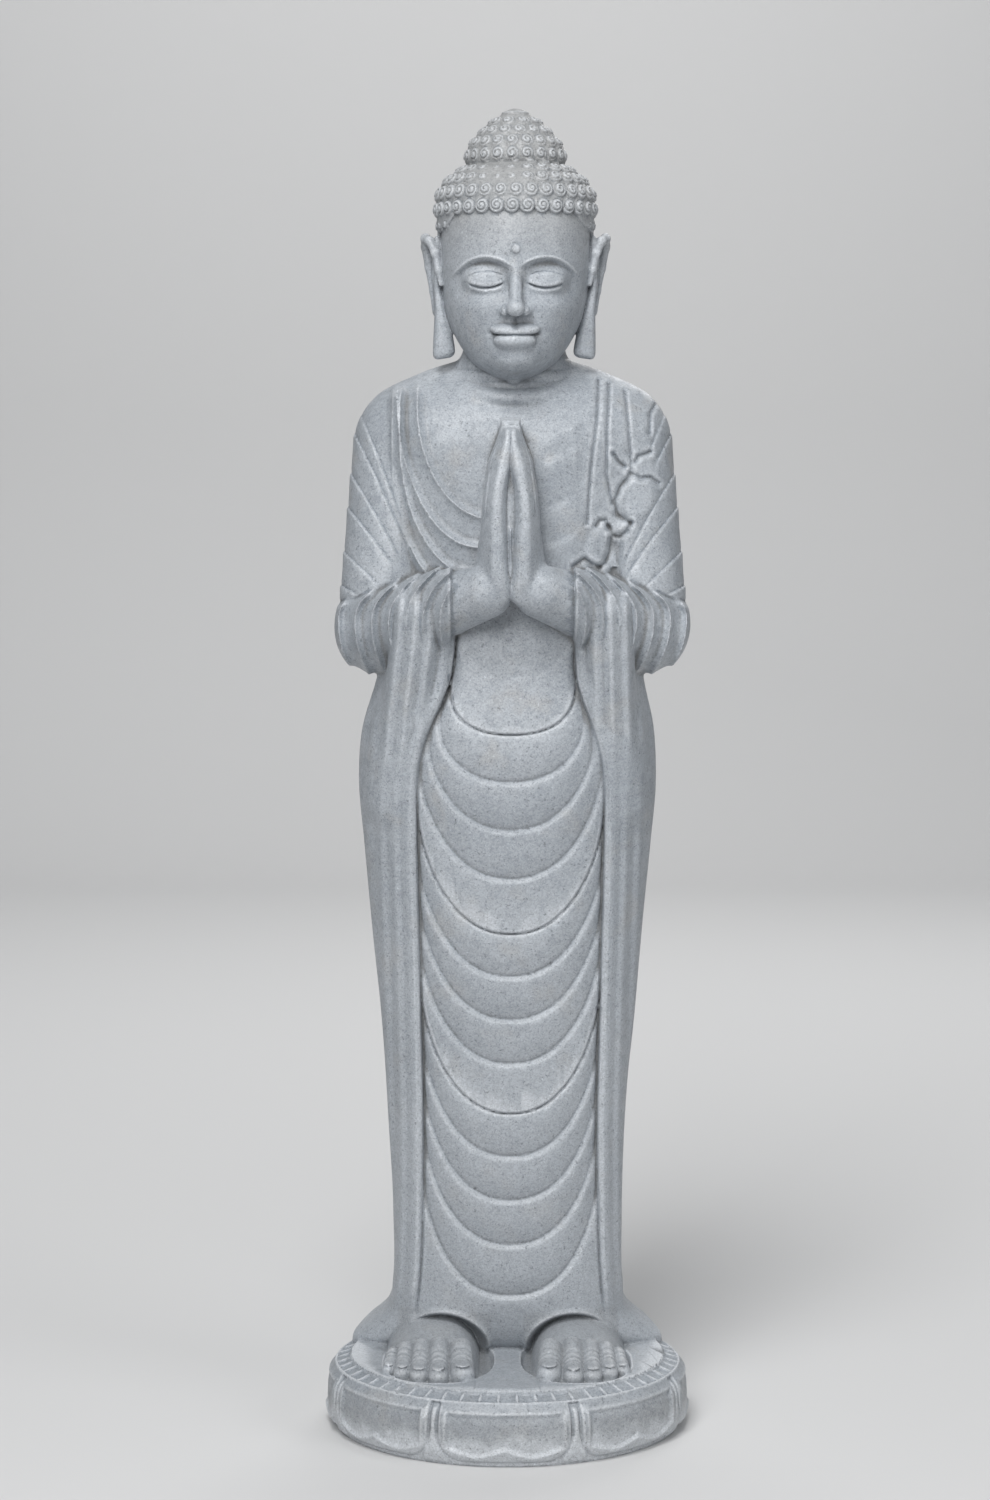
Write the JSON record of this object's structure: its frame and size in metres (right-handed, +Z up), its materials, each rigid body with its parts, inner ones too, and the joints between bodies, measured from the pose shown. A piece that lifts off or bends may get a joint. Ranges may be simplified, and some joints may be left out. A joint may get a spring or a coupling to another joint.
{
  "type": "stone buddha statue",
  "caption": "Standing buddha carved from one block of grey stone, palms joined at the chest, robe in hanging folds, bare feet on a round lotus base.",
  "frame": {"origin": "centre of the flat underside of the base", "axes": "+Z up along the figure, -Y the way the face looks, +X to the figure's left hand"},
  "size_m": [0.4181, 0.4198, 1.5009],
  "materials": {
    "stone": "matte, fine grained, lightly polished and weathered"
  },
  "bodies": {
    "root": {"standing_buddha": "stone"}
  },
  "joints": []
}
